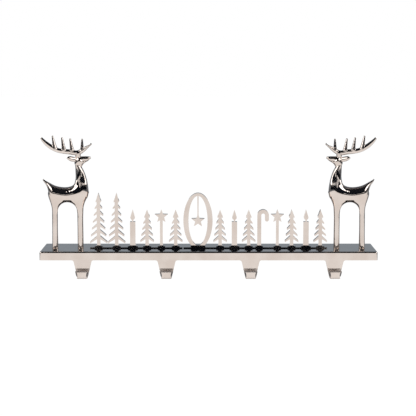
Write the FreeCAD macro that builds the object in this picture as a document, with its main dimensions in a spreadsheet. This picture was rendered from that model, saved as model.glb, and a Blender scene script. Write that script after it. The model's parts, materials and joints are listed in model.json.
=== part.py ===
"""Mantel stocking holder: a polished, nickel-plated aluminium casting in millimetres.

A long shelf rests on the mantel and its apron hangs over the mantel's front edge. Four tabs grow out of
the apron and curl forward into hooks. Two cast reindeer and two cut-out rows of trees, candles, canes and
stars stand on the shelf and are held from below by countersunk screws, under a felt lining.

Frame: X along the shelf, -Y to the room, +Z up. The origin is the middle of the felt's lower face, where
the holder rests on the mantel.
"""
import FreeCAD, Part
import math
import os

import Sketcher

doc = FreeCAD.newDocument("stocking_holder")
dims = doc.addObject("Spreadsheet::Sheet", "dims")

SIZES = {
    # shelf, apron and hooks
    "shelf_length": 560,
    "shelf_depth": 90,
    "plate_thickness": 4,
    "apron_height": 14.5,
    "wall": 3.8,
    "top_round": 2.4,
    "corner_round": 3,
    "inner_round": 1.5,
    "hook_pitch": 139.2,
    "tab_width": 30.5,
    "tab_round": 4,
    "hook_end_width": 16.5,
    "hook_corner_round": 2.8,
    "hook_drop": 30,
    "hook_gap": 11,
    "lip_rise": 3,
    # felt lining
    "felt_thickness": 1.5,
    "felt_inset": 5,
    # standing rows between the reindeer
    "row_y": -5,
    "row_thickness": 9,
    "row_gap": 2.6,
    "row_split": 1.6,
    "rail_height": 1.8,
    "tall_height": 93.5,
    "short_height": 65.5,
    "motif_gap": 1.2,
    "foot_height": 3.6,
    "foot_flare": 3,
    "foot_toe": 1,
    "bare_trunk": 9,
    "tall_fir_width": 29,
    "trunk_width": 5.6,
    "branch_thickness": 5.2,
    "branch_tip": 2.6,
    "branch_droop": 0.62,
    "candle_width": 9,
    "flame_height": 17,
    "flame_width": 7.6,
    "wick_width": 2.2,
    "wick_height": 3.5,
    "star_radius": 11.5,
    "star_waist": 4.9,
    "stem_width": 4.6,
    "cane_width": 6.6,
    "cane_gap": 6.2,
    "cane_hook_drop": 7,
    "ring_width": 49,
    "ring_side": 8.5,
    "ring_end": 4.8,
    "ring_foot_width": 25,
    "link_width": 2,
    # reindeer
    "deer_inset": 22,
    "leg_spacing": 42.5,
    "chest_reach": 13.8,
    "ear_splay": 24,
    "arch_radius": 16.2,  # the round arch under the belly
    "arch_height": 61.6,
    "arch_depth": 40,
    # screws
    "deer_screw_diameter": 4,
    "deer_screw_length": 10,
    "row_screw_diameter": 3,
    "row_screw_length": 9,
    "head_ratio": 2,
    "head_rim": 0.3,
    "screw_point": 0.5,
    "socket_ratio": 0.72,
    "socket_depth_ratio": 0.7,
    "thread_clearance": 0.05,
    "shank_clearance": 0.2,
    "tip_clearance": 1,
}
HOOKS = 4
TALL_TIERS = 7
SHORT_TIERS = 5
SLOTS = 12


def set_size(line, name, value):
    """Writes one named size on a line of the sheet and returns the next line."""
    dims.set(f"A{line}", name)
    dims.set(f"B{line}", str(value))
    dims.setAlias(f"B{line}", name)
    return line + 1


def size(name):
    """A driving dimension, as a number."""
    return float(dims.get(name))


def value_of(expression):
    """What an expression on the sheet comes to, as a number."""
    value = dims.evalExpression(expression)
    return float(getattr(value, "Value", value))


# Heights and places that several pieces share, as expressions on the sheet.
UNDERSIDE = "dims.felt_thickness"
TOP = "(dims.felt_thickness + dims.plate_thickness)"
FRONT = "(-dims.shelf_depth / 2)"
BACK = "(dims.shelf_depth / 2)"
APRON_INNER = f"({FRONT} + dims.wall)"
APRON_BOTTOM = f"({TOP} - dims.apron_height)"
HOOK_BOTTOM = f"({APRON_BOTTOM} - dims.hook_drop)"
FIRST_HOOK = f"(-{HOOKS - 1} * dims.hook_pitch / 2)"


# Sketches and features

class Outline:
    """A closed outline of lines and arcs in a sketch, each corner bound to a pair of expressions."""

    def __init__(self, sketch, across, up):
        self.sketch = sketch
        self.corners = [(across, up)]
        self.bends = []
        self.constraints = []
        self.bindings = []

    def line(self, across, up):
        self.corners.append((across, up))
        self.bends.append(None)

    def arc(self, across, up, centre_across, centre_up, turn):
        """An arc to a corner about a centre; turn is 1 anticlockwise and -1 clockwise."""
        self.corners.append((across, up))
        self.bends.append((centre_across, centre_up, turn))

    def draw(self, start, end, bend):
        """Draws one side and returns its geometry with the point numbers of its start and end."""
        if bend is None:
            return self.sketch.addGeometry(Part.LineSegment(start, end), False), 1, 2
        centre = FreeCAD.Vector(value_of(bend[0]), value_of(bend[1]), 0)
        angles = [math.atan2(p.y - centre.y, p.x - centre.x) for p in (start, end)]
        if bend[2] < 0:
            angles.reverse()
        if angles[1] <= angles[0]:
            angles[1] += 2 * math.pi
        circle = Part.Circle(centre, FreeCAD.Vector(0, 0, 1), (start - centre).Length)
        geometry = self.sketch.addGeometry(Part.ArcOfCircle(circle, *angles), False)
        return (geometry, 1, 2) if bend[2] > 0 else (geometry, 2, 1)

    def pin(self, kind, geometry, point, expression):
        """Notes a constraint that holds a point at an expression's distance from the sketch's origin."""
        if expression == "0":
            axis = -2 if kind == "DistanceX" else -1
            self.constraints.append(Sketcher.Constraint("PointOnObject", geometry, point, axis))
            return
        self.bindings.append((len(self.constraints), expression))
        self.constraints.append(
            Sketcher.Constraint(kind, -1, 1, geometry, point, value_of(expression)))

    def close(self):
        """Closes the outline back to its first corner, draws it and binds it."""
        self.bends.append(None)
        where = [FreeCAD.Vector(value_of(across), value_of(up), 0) for across, up in self.corners]
        after = where[1:] + where[:1]
        sides = [self.draw(*side) for side in zip(where, after, self.bends)]
        for (geometry, _, last), (following, first, _) in zip(sides, sides[1:] + sides[:1]):
            self.constraints.append(Sketcher.Constraint("Coincident", geometry, last, following, first))
        for (geometry, first, _), (across, up), bend in zip(sides, self.corners, self.bends):
            self.pin("DistanceX", geometry, first, across)
            self.pin("DistanceY", geometry, first, up)
            if bend is not None:
                self.pin("DistanceY", geometry, 3, bend[1])
        offset = self.sketch.ConstraintCount
        self.sketch.addConstraint(self.constraints)
        for index, expression in self.bindings:
            self.sketch.setExpression(f"Constraints[{offset + index}]", expression)


def rectangle(sketch, low_across, low_up, high_across, high_up):
    outline = Outline(sketch, low_across, low_up)
    outline.line(high_across, low_up)
    outline.line(high_across, high_up)
    outline.line(low_across, high_up)
    outline.close()


def new_body(label):
    body = doc.addObject("PartDesign::Body", label)
    body.Label = label
    return body


def origin_feature(body, role):
    return next(f for f in body.Origin.OriginFeatures if f.Role == role)


def new_sketch(body, name, role, along_normal=None, across=None, up=None):
    """A sketch on one of the body's own planes, moved along the plane's normal, across it or up it."""
    sketch = body.newObject("Sketcher::SketchObject", name)
    sketch.AttachmentSupport = [(origin_feature(body, role), "")]
    sketch.MapMode = "FlatFace"
    for axis, offset in (("x", across), ("y", up), ("z", along_normal)):
        if offset is not None:
            sketch.setExpression(f"AttachmentOffset.Base.{axis}", offset)
    doc.recompute()
    return sketch


def pad(body, name, sketch, length):
    """A pad to both sides of its sketch."""
    feature = body.newObject("PartDesign::Pad", name)
    feature.Profile = sketch
    feature.SideType = "Symmetric"
    feature.setExpression("Length", length)
    doc.recompute()
    return feature


def cut_through(body, name, sketch):
    feature = body.newObject("PartDesign::Pocket", name)
    feature.Profile = sketch
    feature.SideType = "Symmetric"
    feature.Type = "ThroughAll"
    doc.recompute()
    return feature


def cut_up(body, name, sketch, depth):
    """A pocket upwards from its sketch."""
    feature = body.newObject("PartDesign::Pocket", name)
    feature.Profile = sketch
    feature.Reversed = True
    feature.setExpression("Length", depth)
    doc.recompute()
    return feature


def mirror_across_sketch(body, name, feature, sketch):
    """Mirrors a feature in the plane that stands on its sketch's vertical axis."""
    mirrored = body.newObject("PartDesign::Mirrored", name)
    mirrored.Originals = [feature]
    mirrored.MirrorPlane = (sketch, ["V_Axis"])
    body.Tip = mirrored
    doc.recompute()
    return mirrored


def round_edges(body, name, radius, wanted):
    """Rounds the edges of the body's last shape for which wanted is true."""
    base = body.Tip
    names = [f"Edge{i}" for i, edge in enumerate(base.Shape.Edges, start=1) if wanted(edge)]
    feature = body.newObject("PartDesign::Fillet", name)
    feature.Base = (base, names)
    feature.setExpression("Radius", radius)
    body.Tip = feature
    doc.recompute()
    return feature


def lies(edge, **planes):
    """True where the whole edge lies at the given x, y or z."""
    box = edge.BoundBox
    spans = {"x": (box.XMin, box.XMax), "y": (box.YMin, box.YMax), "z": (box.ZMin, box.ZMax)}
    return all(abs(end - at) < 0.01 for axis, at in planes.items() for end in spans[axis])


# Shelf: plate, apron and four hooks, one casting

def shelf_section(body):
    """The shelf's section, a plate with an apron turned down at its front, run along its length."""
    sketch = new_sketch(body, "shelf_section", "YZ_Plane")
    outline = Outline(sketch, BACK, TOP)
    outline.line(FRONT, TOP)
    outline.line(FRONT, APRON_BOTTOM)
    outline.line(APRON_INNER, APRON_BOTTOM)
    outline.line(APRON_INNER, UNDERSIDE)
    outline.line(BACK, UNDERSIDE)
    outline.close()
    return pad(body, "shelf_plate", sketch, "dims.shelf_length")


def round_shelf(body):
    """Rounds the plate's four corners, its top all round and the hollow corner behind the apron."""
    ends = (value_of("-dims.shelf_length / 2"), value_of("dims.shelf_length / 2"))
    front, back, inner = value_of(FRONT), value_of(BACK), value_of(APRON_INNER)
    top, underside = value_of(TOP), value_of(UNDERSIDE)
    round_edges(body, "corner_rounds", "dims.corner_round",
                lambda edge: any(lies(edge, x=x, y=y) for x in ends for y in (front, back)))
    round_edges(body, "top_rounds", "dims.top_round", lambda edge: lies(edge, z=top))
    round_edges(body, "inner_round", "dims.inner_round", lambda edge: lies(edge, y=inner, z=underside))


def hook_strip(body):
    """The first tab and its hook, seen from the side: down the apron, round the trough and up the lip."""
    trough = f"({FRONT} - dims.hook_gap / 2)"
    trough_up = f"({HOOK_BOTTOM} + dims.wall + dims.hook_gap / 2)"
    lip_inner = f"({FRONT} - dims.hook_gap)"
    lip_outer = f"({lip_inner} - dims.wall)"
    lip_top = f"({trough_up} + dims.lip_rise)"
    joined_up = f"({APRON_BOTTOM} + dims.wall)"
    sketch = new_sketch(body, "hook_section", "YZ_Plane", along_normal=FIRST_HOOK)
    outline = Outline(sketch, APRON_INNER, joined_up)
    outline.line(APRON_INNER, trough_up)
    outline.arc(lip_outer, trough_up, trough, trough_up, -1)
    outline.line(lip_outer, lip_top)
    outline.arc(lip_inner, lip_top, f"({lip_inner} + {lip_outer}) / 2", lip_top, -1)
    outline.line(lip_inner, trough_up)
    outline.arc(FRONT, trough_up, trough, trough_up, 1)
    outline.line(FRONT, joined_up)
    outline.close()
    return pad(body, "hook_strip", sketch, "dims.tab_width + 4 * dims.tab_round")


def tab_sides(body):
    """Trims both sides of the first hook strip to its taper, seen from the front.

    The side slopes in from the apron to the hook's end, with a hollow bend at its top and a round corner at
    its foot. Both bends are tangent to the slope.
    """
    slope = "((dims.tab_width - dims.hook_end_width) / 2 / dims.hook_drop)"
    stretch = f"sqrt(1 + {slope} ^ 2)"
    outer = "(dims.tab_width / 2 + 3 * dims.tab_round)"
    bend = f"(dims.tab_width / 2 + dims.tab_round * ({stretch} - {slope}))"
    bend_up = f"({APRON_BOTTOM} - dims.tab_round)"
    corner = f"(dims.hook_end_width / 2 - dims.hook_corner_round * ({stretch} - {slope}))"
    corner_up = f"({HOOK_BOTTOM} + dims.hook_corner_round)"
    slope_top = f"({bend} - dims.tab_round / {stretch})"
    slope_top_up = f"({bend_up} + dims.tab_round * {slope} / {stretch})"
    slope_foot = f"({corner} + dims.hook_corner_round / {stretch})"
    slope_foot_up = f"({corner_up} - dims.hook_corner_round * {slope} / {stretch})"
    below = f"({HOOK_BOTTOM} - dims.hook_corner_round)"
    sketch = new_sketch(body, "tab_sides", "XZ_Plane", across=FIRST_HOOK)
    for side in (1, -1):
        outline = Outline(sketch, f"{side} * {outer}", APRON_BOTTOM)
        outline.line(f"{side} * {bend}", APRON_BOTTOM)
        outline.arc(f"{side} * {slope_top}", slope_top_up, f"{side} * {bend}", bend_up, side)
        outline.line(f"{side} * {slope_foot}", slope_foot_up)
        outline.arc(f"{side} * {corner}", HOOK_BOTTOM, f"{side} * {corner}", corner_up, -side)
        outline.line(f"{side} * {corner}", below)
        outline.line(f"{side} * {outer}", below)
        outline.close()
    return cut_through(body, "tab_trim", sketch)


def repeat_hooks(body, features):
    """Repeats the first hook along the shelf."""
    pattern = body.newObject("PartDesign::LinearPattern", "hooks")
    pattern.Originals = features
    pattern.Direction = (origin_feature(body, "X_Axis"), [""])
    pattern.Occurrences = HOOKS
    pattern.setExpression("Length", f"{HOOKS - 1} * dims.hook_pitch")
    body.Tip = pattern
    doc.recompute()
    return pattern


def countersinks(body, kind, places):
    """Countersunk clearance holes up through the plate for one kind of screw."""
    radius = f"dims.{kind}_screw_diameter / 2"
    sketch = screw_circles(body, f"{kind}_screw_places", UNDERSIDE, radius, places)
    hole = body.newObject("PartDesign::Hole", f"{kind}_screw_holes")
    hole.Profile = sketch
    doc.recompute()
    hole.Reversed = True
    hole.DepthType = "ThroughAll"
    hole.HoleCutType = "Countersink"
    hole.HoleCutCountersinkAngle = 90
    hole.setExpression("Diameter", f"2 * ({radius} + dims.shank_clearance)")
    hole.setExpression(
        "HoleCutDiameter", f"2 * ({radius} * dims.head_ratio + dims.head_rim + dims.thread_clearance)")
    doc.recompute()
    return hole


def screw_circles(body, name, level, radius, places):
    """A level sketch with a circle on the rows' middle line at each of the given places."""
    sketch = new_sketch(body, name, "XY_Plane", along_normal=level)
    for place in places:
        centre = FreeCAD.Vector(value_of(place), size("row_y"), 0)
        circle = sketch.addGeometry(Part.Circle(centre, FreeCAD.Vector(0, 0, 1), value_of(radius)), False)
        across = sketch.addConstraint(Sketcher.Constraint("DistanceX", -1, 1, circle, 3, centre.x))
        sketch.setExpression(f"Constraints[{across}]", place)
        along = sketch.addConstraint(Sketcher.Constraint("DistanceY", -1, 1, circle, 3, centre.y))
        sketch.setExpression(f"Constraints[{along}]", "dims.row_y")
        wide = sketch.addConstraint(Sketcher.Constraint("Radius", circle, value_of(radius)))
        sketch.setExpression(f"Constraints[{wide}]", radius)
    doc.recompute()
    return sketch


def mantel_shelf(deer_places, row_places):
    body = new_body("mantel_shelf")
    shelf_section(body)
    round_shelf(body)
    repeat_hooks(body, [hook_strip(body), tab_sides(body)])
    countersinks(body, "deer", deer_places)
    countersinks(body, "row", row_places)
    return body


# Felt lining

def felt_lining():
    """The lining under the shelf, set in from the apron and from the edges."""
    body = new_body("felt_lining")
    sketch = new_sketch(body, "felt_outline", "XY_Plane", along_normal="dims.felt_thickness / 2")
    side = "(dims.shelf_length / 2 - dims.felt_inset)"
    rectangle(sketch, f"-{side}", f"{APRON_INNER} + dims.felt_inset", side, f"{BACK} - dims.felt_inset")
    pad(body, "felt_sheet", sketch, "dims.felt_thickness")
    round_edges(body, "felt_corners", "dims.corner_round", lambda edge: edge.BoundBox.ZLength > 0.01)
    return body


# Standing rows: two cut-out castings on the shelf. Each motif is drawn about its own middle line.

ROW_LEFT_END = "(-dims.shelf_length / 2 + dims.deer_inset + dims.leg_spacing + dims.chest_reach + dims.row_gap)"
FIXED_WIDTHS = "(2 * dims.tall_fir_width + dims.ring_width + dims.motif_gap + dims.row_split)"
SLOT = f"((-2 * {ROW_LEFT_END} - {FIXED_WIDTHS}) / {SLOTS})"
FLARE_TOP = "(dims.foot_height + dims.foot_flare)"


def half_outline(sketch, steps):
    """The right-hand half of a motif, closed along its middle line, from the steps up its side."""
    outline = Outline(sketch, "0", steps[0][1])
    for step in steps:
        if len(step) == 2:
            outline.line(*step)
        else:
            outline.arc(*step)
    outline.close()


def foot(half_width):
    """The steps round a flared foot, up to the stem of the given half width."""
    bend = f"({half_width} + dims.foot_flare)"
    toe = f"({bend} + dims.foot_toe)"
    return [(toe, "0"), (toe, "dims.foot_height"), (bend, "dims.foot_height"),
            (half_width, FLARE_TOP, bend, FLARE_TOP, -1)]


def fir(sketch, width, height, tiers):
    """A slender fir: a trunk with drooping branches that shorten towards the top."""
    trunk = "(dims.trunk_width / 2)"
    first = f"({FLARE_TOP} + dims.bare_trunk)"
    steps = foot(trunk)
    for tier in range(tiers):
        root = f"({first} + {tier} * ({height} - {first}) / {tiers + 0.4})"
        reach = f"(({width} / 2 - {trunk}) * {tiers - tier} / {tiers})"
        tip = f"({trunk} + {reach})"
        tip_up = f"({root} - {reach} * dims.branch_droop)"
        steps += [(trunk, root), (tip, tip_up), (tip, f"{tip_up} + dims.branch_tip"),
                  (trunk, f"{root} + dims.branch_thickness")]
    half_outline(sketch, steps + [("0", height)])


def tall_fir(sketch):
    fir(sketch, "dims.tall_fir_width", "dims.tall_height", TALL_TIERS)


def short_fir(sketch):
    fir(sketch, f"({SLOT} - dims.motif_gap)", "dims.short_height", SHORT_TIERS)


def candle(sketch):
    """A candle with a flame: a round base to the flame and a straight side to its point."""
    side, wick, radius = "(dims.candle_width / 2)", "(dims.wick_width / 2)", "(dims.flame_width / 2)"
    flame = "(dims.short_height - dims.flame_height)"
    wax = f"({flame} - dims.wick_height)"
    middle = f"({flame} + sqrt({radius} ^ 2 - {wick} ^ 2))"
    sine = f"({radius} / (dims.short_height - {middle}))"
    shoulder = (f"{radius} * sqrt(1 - {sine} ^ 2)", f"{middle} + {radius} * {sine}", "0", middle, 1)
    half_outline(sketch, foot(side) + [(side, wax), (wick, wax), (wick, flame), shoulder,
                                       ("0", "dims.short_height")])


def star_steps(middle):
    """The right-hand corners of a five-pointed star, from its lower point to below its top one."""
    points = ((-54, "star_radius"), (-18, "star_waist"), (18, "star_radius"), (54, "star_waist"))
    return [(f"dims.{radius} * cos({angle} deg)", f"{middle} + dims.{radius} * sin({angle} deg)")
            for angle, radius in points]


def star(sketch):
    """A star on a stem that meets its two lower points' inner edges."""
    middle = "(dims.short_height - dims.star_radius)"
    stem = "(dims.stem_width / 2)"
    share = f"({stem} / (dims.star_radius * cos(54 deg)))"
    joint = f"{middle} - dims.star_waist - {share} * (dims.star_radius * sin(54 deg) - dims.star_waist)"
    half_outline(sketch, foot(stem) + [(stem, joint)] + star_steps(middle) + [("0", "dims.short_height")])


def hanging_star(sketch):
    """The star inside the ring, with the link that hangs it from the ring's top."""
    middle = "(dims.tall_height / 2)"
    link = "(dims.link_width / 2)"
    link_top = "(dims.tall_height - dims.ring_end / 2)"
    share = f"({link} / (dims.star_waist * cos(54 deg)))"
    shoulder = f"{middle} + dims.star_radius - {share} * (dims.star_radius - dims.star_waist * sin(54 deg))"
    outline = Outline(sketch, "0", f"{middle} - dims.star_waist")
    for step in star_steps(middle) + [(link, shoulder), (link, link_top), ("0", link_top)]:
        outline.line(*step)
    outline.close()


def ring_foot(sketch):
    half_outline(sketch, [("dims.ring_foot_width / 2", "0"), ("dims.ring_foot_width / 2", "dims.ring_end * 0.9"),
                          ("0", "dims.ring_end * 0.9")])


def ring(sketch):
    """A tall oval ring: two ellipses, the inner one leaving thick sides and thin ends."""
    middle = value_of("dims.tall_height / 2")
    for half_width, half_height in (
        ("(dims.ring_width / 2)", "(dims.tall_height / 2)"),
        ("(dims.ring_width / 2 - dims.ring_side)", "(dims.tall_height / 2 - dims.ring_end)"),
    ):
        top = FreeCAD.Vector(0, middle + value_of(half_height), 0)
        side = FreeCAD.Vector(value_of(half_width), middle, 0)
        curve = sketch.addGeometry(Part.Ellipse(top, side, FreeCAD.Vector(0, middle, 0)), False)
        sketch.exposeInternalGeometry(curve)
        long_axis, short_axis = curve + 1, curve + 2
        sketch.addConstraint([Sketcher.Constraint("PointOnObject", curve, 3, -2),
                              Sketcher.Constraint("Vertical", long_axis)])
        bindings = [
            (Sketcher.Constraint("DistanceY", -1, 1, curve, 3, middle), "dims.tall_height / 2"),
            (Sketcher.Constraint("Distance", long_axis, 2 * (top.y - middle)), f"2 * {half_height}"),
            (Sketcher.Constraint("Distance", short_axis, 2 * side.x), f"2 * {half_width}"),
        ]
        for constraint, expression in bindings:
            index = sketch.addConstraint(constraint)
            sketch.setExpression(f"Constraints[{index}]", expression)


def cane(sketch):
    """A walking-stick candy cane with its hook to the right."""
    inner = "(dims.cane_gap / 2)"
    outer = f"({inner} + dims.cane_width)"
    middle = f"(dims.short_height - {outer})"
    end = f"({middle} - dims.cane_hook_drop)"
    right_toe = f"(dims.foot_flare - {inner})"
    left_toe = f"(-{outer} - dims.foot_flare)"
    outline = Outline(sketch, right_toe, "0")
    outline.line(right_toe, "dims.foot_height")
    outline.arc(f"-{inner}", FLARE_TOP, right_toe, FLARE_TOP, -1)
    outline.line(f"-{inner}", middle)
    outline.arc(inner, middle, "0", middle, -1)
    outline.line(inner, end)
    outline.arc(outer, end, f"({inner} + {outer}) / 2", end, 1)
    outline.line(outer, middle)
    outline.arc(f"-{outer}", middle, "0", middle, 1)
    outline.line(f"-{outer}", FLARE_TOP)
    outline.arc(left_toe, "dims.foot_height", left_toe, FLARE_TOP, -1)
    outline.line(left_toe, "0")
    outline.close()


# Each motif's halves, its whole outlines and the width of its cell in the row.
MOTIFS = {
    "tall_fir": ([tall_fir], [], "(dims.tall_fir_width + dims.motif_gap)"),
    "short_fir": ([short_fir], [], SLOT),
    "candle": ([candle], [], SLOT),
    "star": ([star], [], SLOT),
    "cane": ([], [cane], SLOT),
    "ring": ([ring_foot, hanging_star], [ring], "(dims.ring_width + dims.motif_gap)"),
}
# Each row's motifs from left to right, with the ones that a screw holds.
ROWS = {
    "ornament_row_left": (["tall_fir", "tall_fir", "candle", "short_fir", "star", "short_fir"], (0, 4)),
    "ornament_row_right": (["ring", "short_fir", "candle", "short_fir", "cane", "star", "short_fir", "candle",
                            "short_fir"], (0, 5, 7)),
}


def row_casting(label, start, motifs, held):
    """One row: a low rail with its motifs side by side, drilled for screws. Returns the screws' places."""
    body = new_body(label)
    end = f"({start} + {' + '.join(MOTIFS[motif][2] for motif in motifs)} - dims.motif_gap)"
    sketch = new_sketch(body, f"{label}_rail", "XZ_Plane", up=TOP, along_normal="-dims.row_y")
    rectangle(sketch, start, "0", end, "dims.rail_height")
    pad(body, f"{label}_rail_pad", sketch, "dims.row_thickness")
    places = []
    left = start
    for i, motif in enumerate(motifs):
        halves, wholes, cell = MOTIFS[motif]
        middle = f"({left} + ({cell} - dims.motif_gap) / 2)"
        for draw in wholes + halves:
            name = f"{label}_{i + 1}_{draw.__name__}"
            sketch = new_sketch(body, name, "XZ_Plane", across=middle, up=TOP, along_normal="-dims.row_y")
            draw(sketch)
            standing = pad(body, f"{name}_pad", sketch, "dims.row_thickness")
            if draw in halves:
                mirror_across_sketch(body, f"{name}_mirrored", standing, sketch)
        if i in held:
            places.append(middle)
        left = f"({left} + {cell})"
    radius = "dims.row_screw_diameter / 2 + dims.thread_clearance"
    holes = screw_circles(body, f"{label}_screw_places", TOP, radius, places)
    cut_up(body, f"{label}_screw_holes", holes,
           "dims.row_screw_length - dims.plate_thickness + dims.tip_clearance")
    return places


# Reindeer: lofts through elliptical sections, each given by its two edges and its half thickness

# Each station: the leg it is measured from, one edge's x and z, the other edge's x and z, half thickness.
DEER_LOFTS = {
    "trunk": [
        ("hind", -19.4, 116.4, -19.0, 117.4, 0.6),
        ("hind", -15.3, 108.5, -13.2, 113.2, 2.6),
        ("hind", -10.8, 98, -6.8, 109.6, 5.7),
        ("hind", -6.5, 84, -0.2, 106.2, 9.5),
        ("hind", 8, 77.5, 10.7, 103.4, 11),
        ("hind", 21.2, 76, 21.7, 103.2, 11.5),
        ("fore", -6.5, 77, -12, 106, 11.5),
        ("fore", 8.6, 81.5, -8.4, 111, 10.5),
        ("fore", 14.6, 97, -7, 118, 9),
        ("fore", 12.6, 113, -6.8, 124.6, 7.4),
        ("fore", 8.8, 126.5, -7, 132.6, 6.3),
        ("fore", 3.6, 136.5, -7.6, 141, 5.6),
    ],
    "hind_leg": [
        ("hind", -5.2, 0, 5.2, 0, 5),
        ("hind", -5, 12, 5, 12, 4.8),
        ("hind", -4.8, 25, 4.8, 25, 4.7),
        ("hind", -4.7, 40, 4.8, 40, 4.7),
        ("hind", -4.6, 55, 4.9, 55, 4.7),
        ("hind", -4.8, 67, 7, 66, 5.4),
        ("hind", -6.8, 76, 12.5, 72.5, 7.2),
        ("hind", -10.2, 87, 18, 76, 9.2),
        ("hind", -8.5, 96, 20, 87, 9.2),
    ],
    "fore_leg": [
        ("fore", -5, 0, 5.4, 0, 5),
        ("fore", -4.8, 12, 5.2, 12, 4.8),
        ("fore", -4.7, 25, 5.1, 25, 4.7),
        ("fore", -4.7, 40, 5, 40, 4.7),
        ("fore", -4.7, 55, 5.1, 55, 4.7),
        ("fore", -6.8, 66, 5.8, 67.5, 5.4),
        ("fore", -12.3, 72.5, 8, 76.5, 7.2),
        ("fore", -17.8, 76, 12.7, 87, 9.2),
        ("fore", -19.5, 87, 13, 97, 9.2),
    ],
    "head": [
        ("fore", 3.6, 136.5, -7.6, 141, 5.6),
        ("fore", 5.2, 140, -8, 148, 5.8),
        ("fore", 7.3, 142.6, -3.4, 154.2, 5.6),
        ("fore", 12, 146, 8.9, 155, 4.2),
        ("fore", 16.4, 149.4, 16.2, 154.6, 2.7),
        ("fore", 19, 151.4, 18.9, 153.6, 1.2),
    ],
    "ear": [
        ("fore", -4.5, 146.6, -4, 153.2, 1.9),
        ("fore", -12.5, 146.2, -13, 154.2, 2.2),
        ("fore", -19, 149, -20, 154.4, 1.6),
        ("fore", -21.9, 151.4, -22, 153.4, 0.6),
    ],
    "beam": [
        ("fore", -65.2, 184.6, -62.2, 186.9, 1.5),
        ("fore", -55.4, 171.9, -50.6, 177.4, 2.5),
        ("fore", -42.1, 163.2, -39.5, 170.6, 2.6),
        ("fore", -28.9, 159.4, -28, 167.2, 2.7),
        ("fore", -14.4, 157.6, -14, 166.2, 2.8),
        ("fore", -2.1, 157, -3, 165, 3),
        ("fore", 5.5, 160.4, 3.5, 168, 2.7),
        ("fore", 13, 167, 11, 172, 2.5),
        ("fore", 21.2, 174.6, 19.6, 177.6, 1.4),
    ],
}
# The antler's stem and tines: x and z of each one's root and tip, from the fore leg, and its two radii.
DEER_TINES = {
    "stem": (-2.4, 150, -2.4, 160.5, 4.2, 4.6),
    "tine_1": (-40.6, 167, -44.6, 189.4, 4, 1.3),
    "tine_2": (-25.6, 164.5, -29, 186.6, 3.8, 1.3),
    "tine_3": (-12, 164, -15.4, 184.8, 3.6, 1.3),
    "tine_4": (4.4, 164, 4.8, 184.2, 3.3, 1.3),
}
STATION_SIZES = ("edge_x", "edge_z", "far_x", "far_z", "half")
TINE_SIZES = ("root_x", "root_z", "tip_x", "tip_z", "root_radius", "tip_radius")
SECTION_POINTS = 12


def leg_middle(leg):
    return 0 if leg == "hind" else size("leg_spacing")


def deer_section(loft, number, leg):
    """A closed smooth section through evenly spaced points of an ellipse."""
    edge_x, edge_z, far_x, far_z, half = [size(f"{loft}_{number}_{name}") for name in STATION_SIZES]
    edge = FreeCAD.Vector(leg_middle(leg) + edge_x, 0, edge_z)
    far = FreeCAD.Vector(leg_middle(leg) + far_x, 0, far_z)
    middle, reach, side = (edge + far) / 2, (edge - far) / 2, FreeCAD.Vector(0, half, 0)
    angles = [2 * math.pi * i / SECTION_POINTS for i in range(SECTION_POINTS)]
    curve = Part.BSplineCurve()
    curve.interpolate([middle + reach * math.cos(a) + side * math.sin(a) for a in angles], PeriodicFlag=True)
    return Part.Wire([curve.toShape()])


def deer_loft(loft):
    stations = DEER_LOFTS[loft]
    return Part.makeLoft([deer_section(loft, i, s[0]) for i, s in enumerate(stations, start=1)], True)


def deer_tine(tine):
    root_x, root_z, tip_x, tip_z, root_radius, tip_radius = [size(f"{tine}_{name}") for name in TINE_SIZES]
    root = FreeCAD.Vector(leg_middle("fore") + root_x, 0, root_z)
    along = FreeCAD.Vector(tip_x - root_x, 0, tip_z - root_z)
    return Part.makeCone(root_radius, tip_radius, along.Length, root, along)


def deer_ears():
    """The pair of ears, each turned outward about its root."""
    root = FreeCAD.Vector(leg_middle("fore") + size("ear_1_edge_x"), 0, size("ear_1_edge_z"))
    ears = []
    for side in (1, -1):
        ear = deer_loft("ear")
        ear.rotate(root, FreeCAD.Vector(0, 0, 1), side * size("ear_splay"))
        ears.append(ear)
    return ears


def deer_shape():
    """The left reindeer on z = 0 with its hind leg at x = 0, arched between the legs, drilled for its screws."""
    pieces = [deer_loft(name) for name in ("trunk", "hind_leg", "fore_leg", "head", "beam")]
    pieces += [deer_tine(name) for name in DEER_TINES]
    pieces += deer_ears()
    shape = pieces[0].multiFuse(pieces[1:]).removeSplitter()
    between = FreeCAD.Vector(size("leg_spacing") / 2, -size("arch_depth") / 2, size("arch_height"))
    shape = shape.cut(Part.makeCylinder(size("arch_radius"), size("arch_depth"), between, FreeCAD.Vector(0, 1, 0)))
    radius = size("deer_screw_diameter") / 2 + size("thread_clearance")
    depth = size("deer_screw_length") - size("plate_thickness") + size("tip_clearance")
    for leg in ("hind", "fore"):
        shape = shape.cut(Part.makeCylinder(radius, depth, FreeCAD.Vector(leg_middle(leg), 0, 0)))
    return shape


def reindeer_pair():
    """The left reindeer and its mirror image, each facing the middle of the shelf."""
    left = doc.addObject("Part::Feature", "reindeer_left")
    left.Label = "reindeer_left"
    left.Shape = deer_shape()
    left.Placement = FreeCAD.Placement(
        FreeCAD.Vector(value_of(HIND_LEG), size("row_y"), value_of(TOP)), FreeCAD.Rotation())
    right = doc.addObject("Part::Mirroring", "reindeer_right")
    right.Label = "reindeer_right"
    right.Source = left
    right.Normal = FreeCAD.Vector(1, 0, 0)
    doc.recompute()


# Screws

HIND_LEG = "(-dims.shelf_length / 2 + dims.deer_inset)"
FORE_LEG = f"({HIND_LEG} + dims.leg_spacing)"


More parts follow.
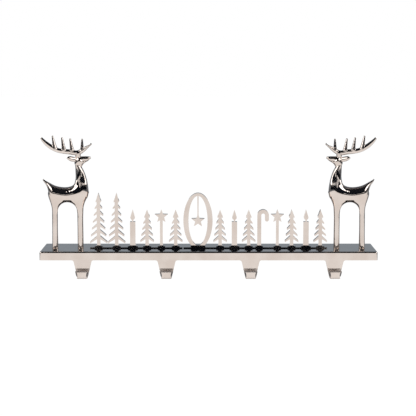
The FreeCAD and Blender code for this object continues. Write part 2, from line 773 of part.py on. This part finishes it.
def screw(label, kind, place):
    """A countersunk socket screw pointing up, its head flush with the plate's underside."""
    radius = f"(dims.{kind}_screw_diameter / 2)"
    head = f"({radius} * dims.head_ratio)"
    length = f"dims.{kind}_screw_length"
    body = new_body(label)
    profile = new_sketch(body, f"{label}_profile", "XZ_Plane")
    outline = Outline(profile, "0", "0")
    outline.line(head, "0")
    outline.line(head, "dims.head_rim")
    outline.line(radius, f"{head} - {radius} + dims.head_rim")
    outline.line(radius, f"{length} - dims.screw_point")
    outline.line(f"{radius} - dims.screw_point", length)
    outline.line("0", length)
    outline.close()
    turned = body.newObject("PartDesign::Revolution", f"{label}_turned")
    turned.Profile = profile
    turned.ReferenceAxis = (profile, ["V_Axis"])
    turned.Angle = 360
    doc.recompute()
    socket = new_sketch(body, f"{label}_socket", "XY_Plane")
    corner = f"{radius} * dims.socket_ratio"
    outline = Outline(socket, corner, "0")
    for angle in (60, 120):
        outline.line(f"{corner} * cos({angle} deg)", f"{corner} * sin({angle} deg)")
    outline.line(f"-{corner}", "0")
    for angle in (240, 300):
        outline.line(f"{corner} * cos({angle} deg)", f"{corner} * sin({angle} deg)")
    outline.close()
    cut_up(body, f"{label}_socket_cut", socket, f"{radius} * dims.socket_depth_ratio")
    for axis, at in (("x", place), ("y", "dims.row_y"), ("z", UNDERSIDE)):
        body.setExpression(f"Placement.Base.{axis}", at)
    doc.recompute()


# The whole holder

line = 1
for name, value in SIZES.items():
    line = set_size(line, name, value)
for loft, stations in DEER_LOFTS.items():
    for i, station in enumerate(stations, start=1):
        for name, value in zip(STATION_SIZES, station[1:]):
            line = set_size(line, f"{loft}_{i}_{name}", value)
for tine, values in DEER_TINES.items():
    for name, value in zip(TINE_SIZES, values):
        line = set_size(line, f"{tine}_{name}", value)
doc.recompute()

row_starts = {
    "ornament_row_left": ROW_LEFT_END,
    "ornament_row_right": f"({ROW_LEFT_END} + 2 * {MOTIFS['tall_fir'][2]} + 4 * {SLOT}"
                          " - dims.motif_gap + dims.row_split)",
}
row_places = []
for label, (motifs, held) in ROWS.items():
    row_places += row_casting(label, row_starts[label], motifs, held)
deer_places = [HIND_LEG, FORE_LEG, f"-{FORE_LEG}", f"-{HIND_LEG}"]
mantel_shelf(deer_places, row_places)
felt_lining()
for kind, places in (("deer", deer_places), ("row", row_places)):
    for i, place in enumerate(places, start=1):
        screw(f"{kind}_screw_{i}", kind, place)
reindeer_pair()

# Checks, then one file for each piece
for thing in doc.Objects:
    if "Invalid" in thing.State or "Error" in thing.State:
        raise RuntimeError(f"{thing.Label} failed: {thing.State}")
pieces = [thing for thing in doc.Objects
          if thing.TypeId in ("PartDesign::Body", "Part::Feature", "Part::Mirroring")]
for piece in pieces:
    if piece.Shape.isNull() or not piece.Shape.isValid() or len(piece.Shape.Solids) != 1:
        raise RuntimeError(f"{piece.Label} isn't one valid solid")
os.makedirs("parts", exist_ok=True)
for piece in pieces:
    piece.Shape.exportStep(f"parts/{piece.Label}.step")
    print(f"{piece.Label}: {piece.Shape.Volume:.1f} mm3")
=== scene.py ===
import json
import math

import bmesh
import bpy
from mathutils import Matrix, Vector

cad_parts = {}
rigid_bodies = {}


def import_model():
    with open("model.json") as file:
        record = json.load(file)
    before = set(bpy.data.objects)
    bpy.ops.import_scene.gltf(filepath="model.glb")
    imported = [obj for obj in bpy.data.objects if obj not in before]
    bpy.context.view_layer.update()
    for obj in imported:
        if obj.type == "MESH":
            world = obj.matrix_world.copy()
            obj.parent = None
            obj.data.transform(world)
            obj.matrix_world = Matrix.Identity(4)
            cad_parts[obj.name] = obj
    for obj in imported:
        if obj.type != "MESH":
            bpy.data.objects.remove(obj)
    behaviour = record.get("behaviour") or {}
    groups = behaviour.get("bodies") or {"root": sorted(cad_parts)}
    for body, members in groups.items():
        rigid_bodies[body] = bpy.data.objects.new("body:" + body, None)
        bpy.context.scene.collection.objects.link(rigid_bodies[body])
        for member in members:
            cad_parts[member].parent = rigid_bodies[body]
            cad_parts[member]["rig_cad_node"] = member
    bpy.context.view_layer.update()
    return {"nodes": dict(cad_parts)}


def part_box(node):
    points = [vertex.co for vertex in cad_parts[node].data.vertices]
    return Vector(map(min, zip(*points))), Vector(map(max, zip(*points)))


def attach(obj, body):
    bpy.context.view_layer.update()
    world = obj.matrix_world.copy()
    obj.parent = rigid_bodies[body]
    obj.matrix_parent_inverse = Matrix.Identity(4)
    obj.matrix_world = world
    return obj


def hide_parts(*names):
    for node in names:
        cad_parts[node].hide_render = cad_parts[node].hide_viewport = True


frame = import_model()

metre = 1000.0  # millimetres in one
weldGap = 0.002  # mm, within which the corners of a node's loose triangles are joined


def mm(value):
    return value / metre


def perMillimetres(spacing):  # the scale of a texture that repeats at this spacing
    return metre / spacing


def deselectAll():
    bpy.ops.object.select_all(action="DESELECT")


def activate(piece):
    deselectAll()
    piece.select_set(True)
    bpy.context.view_layer.objects.active = piece


def copyOfNode(nodeName, pieceName):  # the node's own mesh, merged, as a new piece
    activate(frame["nodes"][nodeName])
    bpy.ops.object.duplicate()
    piece = bpy.context.view_layer.objects.active
    piece.name = pieceName
    piece.data.name = pieceName
    del piece["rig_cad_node"]  # the copy isn't a CAD node
    piece.data.materials.clear()
    bpy.ops.object.mode_set(mode="EDIT")
    bpy.ops.mesh.select_all(action="SELECT")
    bpy.ops.mesh.remove_doubles(threshold=mm(weldGap))
    bpy.ops.mesh.customdata_custom_splitnormals_clear()
    bpy.ops.object.mode_set(mode="OBJECT")
    return piece


def applyAll(piece):
    activate(piece)
    for name in [modifier.name for modifier in piece.modifiers]:
        bpy.ops.object.modifier_apply(modifier=name)


def linear(hexColour):  # from sRGB, by its own curve
    channels = [int(hexColour[i : i + 2], 16) / 255 for i in (1, 3, 5)]
    return [c / 12.92 if c <= 0.04045 else ((c + 0.055) / 1.055) ** 2.4 for c in channels] + [1.0]


def addNode(tree, kind, settings=None, links=None):  # settings go to its inputs or properties
    node = tree.nodes.new(kind)
    for key, value in (settings or {}).items():
        if isinstance(key, int) or key in node.inputs:
            node.inputs[key].default_value = value
        else:
            setattr(node, key, value)
    for key, source in (links or {}).items():
        tree.links.new(source, node.inputs[key])
    return node


def newMaterial(name):
    material = bpy.data.materials.new(name)
    material.use_nodes = True
    material.node_tree.nodes.clear()
    return material, material.node_tree


def rampStops(node, stops):  # each stop is a place from 0 to 1 and a colour
    ramp = node.color_ramp
    while len(ramp.elements) < len(stops):
        ramp.elements.new(0.5)  # moved to its place below
    for element, (place, colour) in zip(ramp.elements, stops):
        element.position = place
        element.color = linear(colour)


nickelLook = {
    "cloud": 34.0,  # mm across the patches that were buffed more or less
    "tones": [(0.35, "#D2C5BC"), (0.62, "#DBD0C8")],  # along the cloud's 0 to 1
    "cloudSpan": (0.3, 0.7),  # the part of it over which the gloss changes
    "gloss": (0.045, 0.085),  # roughness of the best and of the least buffed patch
    "castWave": 9.0,  # mm between the soft waves that casting and buffing leave
    "waveHeight": 0.02,
    "hairline": 0.5,  # mm, drawn coarser: real buffing lines are under 0.05 mm apart
    "hairlineHeight": 0.0006,
    "troughTop": -22.0,  # below this the inside of a hook is out of the wheel's reach
    "troughFade": 2.0,
    "lipFront": -58.0,
    "lipFade": 1.5,
    "lipTop": -26.5,
    "lipTopFade": 1.0,
    "unbuffed": 0.42,  # how much rougher it is there
}

# Nickel plate on a sand casting, polished on a buffing wheel. The eye sees a warm mirror whose
# reflections wander a little, and satin metal inside the hooks.
nickel, tree = newMaterial("polishedNickel")
place = addNode(tree, "ShaderNodeTexCoord").outputs["Object"]
wave = addNode(
    tree,
    "ShaderNodeTexNoise",
    {"Scale": perMillimetres(nickelLook["castWave"]), "Detail": 1.0, "Roughness": 0.4},
    {"Vector": place},
)
cloud = addNode(
    tree,
    "ShaderNodeTexNoise",
    {"Scale": perMillimetres(nickelLook["cloud"]), "Detail": 4.0, "Roughness": 0.55},
    {"Vector": place},
)
toneRamp = addNode(tree, "ShaderNodeValToRGB", {}, {"Fac": cloud.outputs["Fac"]})
rampStops(toneRamp, nickelLook["tones"])
gloss = addNode(
    tree,
    "ShaderNodeMapRange",
    {
        "From Min": nickelLook["cloudSpan"][0],
        "From Max": nickelLook["cloudSpan"][1],
        "To Min": nickelLook["gloss"][0],
        "To Max": nickelLook["gloss"][1],
    },
    {"Value": cloud.outputs["Fac"]},
)
axes = addNode(tree, "ShaderNodeSeparateXYZ", {}, {"Vector": place})
sunk = addNode(  # 1 below the top of the trough
    tree,
    "ShaderNodeMapRange",
    {
        "From Min": mm(nickelLook["troughTop"]),
        "From Max": mm(nickelLook["troughTop"] - nickelLook["troughFade"]),
    },
    {"Value": axes.outputs["Z"]},
)
inside = addNode(  # 1 behind the front of the lip
    tree,
    "ShaderNodeMapRange",
    {
        "From Min": mm(nickelLook["lipFront"]),
        "From Max": mm(nickelLook["lipFront"] + nickelLook["lipFade"]),
    },
    {"Value": axes.outputs["Y"]},
)
lipTop = addNode(  # 1 over the lip's top edge
    tree,
    "ShaderNodeMapRange",
    {
        "From Min": mm(nickelLook["lipTop"] - nickelLook["lipTopFade"]),
        "From Max": mm(nickelLook["lipTop"]),
    },
    {"Value": axes.outputs["Z"]},
)
reach = addNode(
    tree,
    "ShaderNodeMath",
    {"operation": "MAXIMUM"},
    {0: inside.outputs[0], 1: lipTop.outputs[0]},
)
trough = addNode(
    tree,
    "ShaderNodeMath",
    {"operation": "MULTIPLY"},
    {0: sunk.outputs[0], 1: reach.outputs[0]},
)
dulled = addNode(
    tree,
    "ShaderNodeMath",
    {"operation": "MULTIPLY_ADD", 1: nickelLook["unbuffed"]},
    {0: trough.outputs[0], 2: gloss.outputs["Result"]},
)
waveBump = addNode(
    tree,
    "ShaderNodeBump",
    {"Strength": 1.0, "Distance": mm(nickelLook["waveHeight"])},
    {"Height": wave.outputs["Fac"]},
)
hairline = addNode(
    tree,
    "ShaderNodeTexNoise",
    {"Scale": perMillimetres(nickelLook["hairline"]), "Detail": 2.0},
    {"Vector": place},
)
fineBump = addNode(
    tree,
    "ShaderNodeBump",
    {"Strength": 1.0, "Distance": mm(nickelLook["hairlineHeight"])},
    {"Height": hairline.outputs["Fac"], "Normal": waveBump.outputs["Normal"]},
)
shader = addNode(
    tree,
    "ShaderNodeBsdfPrincipled",
    {"Metallic": 1.0},
    {
        "Base Color": toneRamp.outputs["Color"],
        "Roughness": dulled.outputs[0],
        "Normal": fineBump.outputs["Normal"],
    },
)
addNode(tree, "ShaderNodeOutputMaterial", {}, {"Surface": shader.outputs["BSDF"]})

zincLook = {
    "tones": [(0.1, "#B9BDC0"), (0.8, "#A5AAAE")],
    "spangle": 0.6,  # mm, drawn coarser: a plated layer's crystals are too fine to see
    "roughness": 0.32,
}

# Zinc plated on steel and dipped bright. The eye sees a cool grey, duller than the nickel.
zinc, tree = newMaterial("zincPlatedSteel")
place = addNode(tree, "ShaderNodeTexCoord").outputs["Object"]
spangle = addNode(
    tree,
    "ShaderNodeTexVoronoi",
    {"Scale": perMillimetres(zincLook["spangle"])},
    {"Vector": place},
)
zincRamp = addNode(tree, "ShaderNodeValToRGB", {}, {"Fac": spangle.outputs["Distance"]})
rampStops(zincRamp, zincLook["tones"])
shader = addNode(
    tree,
    "ShaderNodeBsdfPrincipled",
    {"Metallic": 1.0, "Roughness": zincLook["roughness"]},
    {"Base Color": zincRamp.outputs["Color"]},
)
addNode(tree, "ShaderNodeOutputMaterial", {}, {"Surface": shader.outputs["BSDF"]})

feltLook = {
    "tones": [(0.3, "#26272A"), (0.7, "#45464A")],
    "fibre": 0.9,  # mm, drawn coarser, as tufts: wool's fibres are about 0.03 mm thick
    "fuzzHeight": 0.25,
    "roughness": 0.95,
    "sheen": 0.35,
    "sheenRoughness": 0.5,
}

# Wool pressed into felt. The eye sees a matt charcoal with a fuzz of crossing fibres.
felt, tree = newMaterial("pressedFelt")
place = addNode(tree, "ShaderNodeTexCoord").outputs["Object"]
fibre = addNode(
    tree,
    "ShaderNodeTexNoise",
    {
        "Scale": perMillimetres(feltLook["fibre"]),
        "Detail": 6.0,
        "Roughness": 0.7,
        "Distortion": 1.5,
    },
    {"Vector": place},
)
feltRamp = addNode(tree, "ShaderNodeValToRGB", {}, {"Fac": fibre.outputs["Fac"]})
rampStops(feltRamp, feltLook["tones"])
feltBump = addNode(
    tree,
    "ShaderNodeBump",
    {"Strength": 1.0, "Distance": mm(feltLook["fuzzHeight"])},
    {"Height": fibre.outputs["Fac"]},
)
shader = addNode(
    tree,
    "ShaderNodeBsdfPrincipled",
    {
        "Roughness": feltLook["roughness"],
        "Sheen Weight": feltLook["sheen"],
        "Sheen Roughness": feltLook["sheenRoughness"],
    },
    {"Base Color": feltRamp.outputs["Color"], "Normal": feltBump.outputs["Normal"]},
)
addNode(tree, "ShaderNodeOutputMaterial", {}, {"Surface": shader.outputs["BSDF"]})

print("materials ready")

deerFinish = {
    "voxel": 0.55,  # mm, fine enough for the tines
    "smoothPasses": 18,
    "smoothness": 0.5,
    "archAside": 236.75,  # mm from the middle of the shelf to the arch's centre
    "archUp": 67.1,
    "archRadius": 16.2,
    "archBand": 3.0,  # filed in full this far out from the arch
    "archRounding": 6.0,  # and less and less over this much more
    "archBlend": 12.0,  # coming in over this height, so that the legs keep their shape
    "archPasses": 220,
    "archFactor": 0.5,
}


def roundArch(deer):  # files the edges of the arch under the belly round
    inward = 1 if deer.name.endswith("left") else -1  # towards the middle of the shelf
    centre = Vector((-inward * mm(deerFinish["archAside"]), mm(deerFinish["archUp"])))  # x and z
    near = deer.vertex_groups.new(name="archEdge")
    for vertex in deer.data.vertices:
        away = (Vector((vertex.co.x, vertex.co.z)) - centre).length - mm(deerFinish["archRadius"])
        past = max(0.0, away - mm(deerFinish["archBand"]))
        nearness = 1.0 - past / mm(deerFinish["archRounding"])
        height = (vertex.co.z - centre.y) / mm(deerFinish["archBlend"])
        weight = min(1.0, max(0.0, nearness)) * min(1.0, max(0.0, height))
        if weight > 0:
            near.add([vertex.index], weight, "REPLACE")
    filed = deer.modifiers.new("filedArch", "SMOOTH")
    filed.factor = deerFinish["archFactor"]
    filed.iterations = deerFinish["archPasses"]
    filed.vertex_group = near.name
    applyAll(deer)
    deer.vertex_groups.clear()


def buildReindeer(nodeName, pieceName):  # the solid's lofts, blended where they meet
    deer = copyOfNode(nodeName, pieceName)
    remesh = deer.modifiers.new("blendJoints", "REMESH")
    remesh.mode = "VOXEL"
    remesh.voxel_size = mm(deerFinish["voxel"])
    remesh.use_smooth_shade = True
    soften = deer.modifiers.new("buffed", "LAPLACIANSMOOTH")
    soften.iterations = deerFinish["smoothPasses"]
    soften.lambda_factor = deerFinish["smoothness"]
    soften.use_volume_preserve = True
    applyAll(deer)
    roundArch(deer)
    deer.data.materials.append(nickel)
    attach(deer, "root")
    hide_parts(nodeName)
    print(pieceName, len(deer.data.polygons), "faces")


for side in ("left", "right"):
    buildReindeer("reindeer_" + side, "deer_casting_" + side)

edgeFinish = {
    "shelf": 0.7,  # mm taken off the sharp edges
    "row": 0.55,
    "segments": 3,
    "flatAngle": 1.0,  # faces that turn by less are one face, in degrees
    "edgeAngle": 35.0,  # and edges that turn by more are sharp
}
lipFinish = {
    "draft": 2.9,  # mm that each side of a lip has come in by at its front
    "wall": 3.8,  # the lip's thickness, over which it slopes
    "hookPitch": 139.2,
    "below": -18.0,  # higher up is the shelf
}


def draftLips(shelf):  # the sides of each hook's lip slope in towards its front
    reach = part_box("mantel_shelf")[0][1]  # the front of the lips
    bpy.ops.object.mode_set(mode="EDIT")
    shape = bmesh.from_edit_mesh(shelf.data)
    for vertex in shape.verts:
        depth = 1.0 - (vertex.co.y - reach) / mm(lipFinish["wall"])
        if depth > 0 and vertex.co.z < mm(lipFinish["below"]):
            hook = round(vertex.co.x / mm(lipFinish["hookPitch"]) - 0.5) + 0.5  # at half pitches
            aside = vertex.co.x - hook * mm(lipFinish["hookPitch"])
            vertex.co.x -= math.copysign(depth * mm(lipFinish["draft"]), aside)
    bmesh.update_edit_mesh(shelf.data)
    bpy.ops.object.mode_set(mode="OBJECT")


def buildCasting(nodeName, pieceName, edgeRound):  # the solid with its sharp edges tumbled
    casting = copyOfNode(nodeName, pieceName)
    flatten = casting.modifiers.new("flatFaces", "DECIMATE")
    flatten.decimate_type = "DISSOLVE"
    flatten.angle_limit = math.radians(edgeFinish["flatAngle"])
    if nodeName == "mantel_shelf":
        applyAll(casting)
        draftLips(casting)
    bevel = casting.modifiers.new("tumbledEdges", "BEVEL")
    bevel.width = mm(edgeRound)
    bevel.segments = edgeFinish["segments"]
    bevel.limit_method = "ANGLE"
    bevel.angle_limit = math.radians(edgeFinish["edgeAngle"])
    bevel.harden_normals = True
    bevel.use_clamp_overlap = True
    applyAll(casting)
    casting.data.materials.append(nickel)
    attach(casting, "root")
    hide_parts(nodeName)
    print(pieceName, len(casting.data.polygons), "faces")


buildCasting("mantel_shelf", "shelf_casting", edgeFinish["shelf"])
for side in ("left", "right"):
    buildCasting("ornament_row_" + side, "row_casting_" + side, edgeFinish["row"])

for name, node in frame["nodes"].items():  # the screws and the felt keep their own meshes
    if node.hide_render:  # a piece stands for it
        continue
    node.data.materials.clear()
    node.data.materials.append(felt if name == "felt_lining" else zinc)

print("screws and felt finished")

# Matt paper on the studio's floor, glowing so that the polished fronts mirror it bright. The
# camera sees it white all over. In the metal it shows painted light: painted white pools in front
# and in a narrow lane behind, and a painted slate shade elsewhere.
floorLook = {
    "drop": 350.0,  # mm below the mantel's top
    "size": 30.0,  # from here on in metres
    "ahead": (0.7, -0.2),  # Y over which the painted light in front comes up
    "within": (4.2, 3.0),  # and how far to the sides it reaches
    "behind": (0.9, 1.4),  # a narrow lane of painted light behind, for the castings' backs
    "narrow": (1.1, 0.7),
    # the painted light, and the painted slate shade around it, which only the metal mirrors
    "lit": "#FFFFFF",
    "unlit": "#4E555E",
    "glow": 0.94,  # a little under white, because the lamps add to it
    "shadowed": "#606060",  # how much of the object's shadow shows
    "paper": "#F4F2F0",
}

deselectAll()
bpy.ops.mesh.primitive_plane_add(size=floorLook["size"], location=(0, 0, -mm(floorLook["drop"])))
floor = bpy.context.view_layer.objects.active
floor.name = "studio_floor"

paper, tree = newMaterial("paleFloor")
place = addNode(tree, "ShaderNodeTexCoord").outputs["Object"]
axes = addNode(tree, "ShaderNodeSeparateXYZ", {}, {"Vector": place})
aside = addNode(tree, "ShaderNodeMath", {"operation": "ABSOLUTE"}, {0: axes.outputs["X"]})
fades = {}
for name, source in (
    ("ahead", axes.outputs["Y"]),
    ("within", aside.outputs[0]),
    ("behind", axes.outputs["Y"]),
    ("narrow", aside.outputs[0]),
):
    fades[name] = addNode(
        tree,
        "ShaderNodeMapRange",
        {
            "From Min": floorLook[name][0],
            "From Max": floorLook[name][1],
            "interpolation_type": "SMOOTHSTEP",
        },
        {"Value": source},
    ).outputs["Result"]
frontLit = addNode(
    tree,
    "ShaderNodeMath",
    {"operation": "MULTIPLY"},
    {0: fades["ahead"], 1: fades["within"]},
)
backLit = addNode(
    tree,
    "ShaderNodeMath",
    {"operation": "MULTIPLY"},
    {0: fades["behind"], 1: fades["narrow"]},
)
lit = addNode(
    tree,
    "ShaderNodeMath",
    {"operation": "MAXIMUM"},
    {0: frontLit.outputs[0], 1: backLit.outputs[0]},
)
# the floor's painted light and painted shade, as the metal sees it
mirrored = addNode(
    tree,
    "ShaderNodeMixRGB",
    {"Color1": linear(floorLook["unlit"]), "Color2": linear(floorLook["lit"])},
    {"Fac": lit.outputs[0]},
)
rays = addNode(tree, "ShaderNodeLightPath")
toned = addNode(
    tree,
    "ShaderNodeMixRGB",
    {"Color2": linear(floorLook["lit"])},
    {"Fac": rays.outputs["Is Camera Ray"], "Color1": mirrored.outputs[0]},
)
glow = addNode(
    tree,
    "ShaderNodeEmission",
    {"Strength": floorLook["glow"]},
    {"Color": toned.outputs[0]},
)
shade = addNode(tree, "ShaderNodeBsdfDiffuse", {"Color": linear(floorLook["shadowed"])})
seen = addNode(tree, "ShaderNodeAddShader", {}, {0: glow.outputs[0], 1: shade.outputs[0]})
matt = addNode(tree, "ShaderNodeBsdfDiffuse", {"Color": linear(floorLook["paper"])})
direct = addNode(
    tree,
    "ShaderNodeMath",
    {"operation": "MAXIMUM"},
    {0: rays.outputs["Is Camera Ray"], 1: rays.outputs["Is Glossy Ray"]},
)
mixed = addNode(
    tree,
    "ShaderNodeMixShader",
    {},
    {0: direct.outputs[0], 1: matt.outputs[0], 2: seen.outputs[0]},
)
addNode(tree, "ShaderNodeOutputMaterial", {}, {"Surface": mixed.outputs[0]})
floor.data.materials.append(paper)

print("floor ready")

# The camera sees white all round. The metal mirrors a room: dark in front, with a strip of pale
# screens just over the floor's edge, and a dim grey-blue behind. All else gets an even light.
roomLook = {
    "front": [
        (0.0, "#06090F"),
        (0.25, "#0E131C"),
        (0.5, "#14181F"),
        (0.8, "#16191F"),
        (1.0, "#1A1D23"),
    ],
    "back": [
        (0.0, "#8B959F"),
        (0.25, "#8F98A0"),
        (0.45, "#6C7278"),
        (0.9, "#666A72"),
        (1.0, "#1A1D23"),
    ],
    "beside": (0.097, 0.106),  # the screens leave a gap straight ahead: sines of the angles
    "low": (0.185, 0.17),  # below this they are lit
    "high": (0.125, 0.14),  # and above this
    "screens": "#F2F2F2",
    "turn": (-0.25, 0.35),  # from the front of the room to its back
    "white": "#FFFFFF",
    "evenStrength": 0.6,
}

world = bpy.data.worlds.new("studioRoom")
bpy.context.scene.world = world
world.use_nodes = True
tree = world.node_tree
tree.nodes.clear()
direction = addNode(tree, "ShaderNodeTexCoord").outputs["Generated"]
axes = addNode(tree, "ShaderNodeSeparateXYZ", {}, {"Vector": direction})
front = addNode(tree, "ShaderNodeValToRGB", {}, {"Fac": axes.outputs["Z"]})
rampStops(front, roomLook["front"])
back = addNode(tree, "ShaderNodeValToRGB", {}, {"Fac": axes.outputs["Z"]})
rampStops(back, roomLook["back"])
sideways = addNode(tree, "ShaderNodeMath", {"operation": "ABSOLUTE"}, {0: axes.outputs["X"]})
fades = {}
for name, source in (
    ("beside", sideways.outputs[0]),
    ("low", axes.outputs["Z"]),
    ("high", axes.outputs["Z"]),
    ("turn", axes.outputs["Y"]),
):
    fades[name] = addNode(
        tree,
        "ShaderNodeMapRange",
        {
            "From Min": roomLook[name][0],
            "From Max": roomLook[name][1],
            "interpolation_type": "SMOOTHSTEP",
        },
        {"Value": source},
    ).outputs["Result"]
level = addNode(
    tree,
    "ShaderNodeMath",
    {"operation": "MULTIPLY"},
    {0: fades["high"], 1: fades["low"]},
)
screens = addNode(
    tree,
    "ShaderNodeMath",
    {"operation": "MULTIPLY"},
    {0: fades["beside"], 1: level.outputs[0]},
)
screened = addNode(
    tree,
    "ShaderNodeMixRGB",
    {"Color2": linear(roomLook["screens"])},
    {"Fac": screens.outputs[0], "Color1": front.outputs["Color"]},
)
room = addNode(
    tree,
    "ShaderNodeMixRGB",
    {},
    {"Fac": fades["turn"], "Color1": screened.outputs[0], "Color2": back.outputs["Color"]},
)
rays = addNode(tree, "ShaderNodeLightPath")
roomLight = addNode(
    tree,
    "ShaderNodeBackground",
    {"Strength": 1.0},
    {"Color": room.outputs["Color"]},
)
even = addNode(
    tree,
    "ShaderNodeBackground",
    {"Color": linear(roomLook["white"]), "Strength": roomLook["evenStrength"]},
)
white = addNode(
    tree,
    "ShaderNodeBackground",
    {"Color": linear(roomLook["white"]), "Strength": 1.0},
)
glossy = addNode(
    tree,
    "ShaderNodeMixShader",
    {},
    {0: rays.outputs["Is Glossy Ray"], 1: even.outputs[0], 2: roomLight.outputs[0]},
)
shown = addNode(
    tree,
    "ShaderNodeMixShader",
    {},
    {0: rays.outputs["Is Camera Ray"], 1: glossy.outputs[0], 2: white.outputs[0]},
)
addNode(tree, "ShaderNodeOutputWorld", {}, {"Surface": shown.outputs[0]})

softboxes = {  # metres and watts, for those on the right: the left ones mirror them
    "aim": (0, 0, 0.05),
    "front": {"place": (1.45, -1.3, 1.3), "size": (1.2, 1.1), "watts": 13.0},
    "side": {"place": (1.9, -0.2, 0.9), "size": (0.8, 1.1), "watts": 6.0},
}


def addSoftbox(name, box, mirror):  # mirror is -1 for one on the left
    data = bpy.data.lights.new(name, "AREA")
    data.shape = "RECTANGLE"
    data.size, data.size_y = box["size"]
    data.energy = box["watts"]
    lamp = bpy.data.objects.new(name, data)
    bpy.context.scene.collection.objects.link(lamp)
    lamp.location = (mirror * box["place"][0], box["place"][1], box["place"][2])
    aimed = Vector(softboxes["aim"]) - lamp.location
    lamp.rotation_euler = aimed.to_track_quat("-Z", "Y").to_euler()


addSoftbox("softboxFrontLeft", softboxes["front"], -1)
addSoftbox("softboxFrontRight", softboxes["front"], 1)
addSoftbox("softboxLeft", softboxes["side"], -1)
addSoftbox("softboxRight", softboxes["side"], 1)

print("room and lamps ready")

view = {
    "place": (-0.0009, -2.146, 0.3453),
    "pitch": 7.24,  # degrees down
    "lens": 111.3,  # mm, as is the sensor's width
    "sensor": 36.0,
}

cameraData = bpy.data.cameras.new("photoCamera")
cameraData.lens = view["lens"]
cameraData.sensor_width = view["sensor"]
camera = bpy.data.objects.new("photoCamera", cameraData)
bpy.context.scene.collection.objects.link(camera)
camera.location = view["place"]
camera.rotation_euler = (math.radians(90.0 - view["pitch"]), 0.0, 0.0)
bpy.context.scene.camera = camera
bpy.context.scene.view_settings.view_transform = "Standard"

print("scene ready")
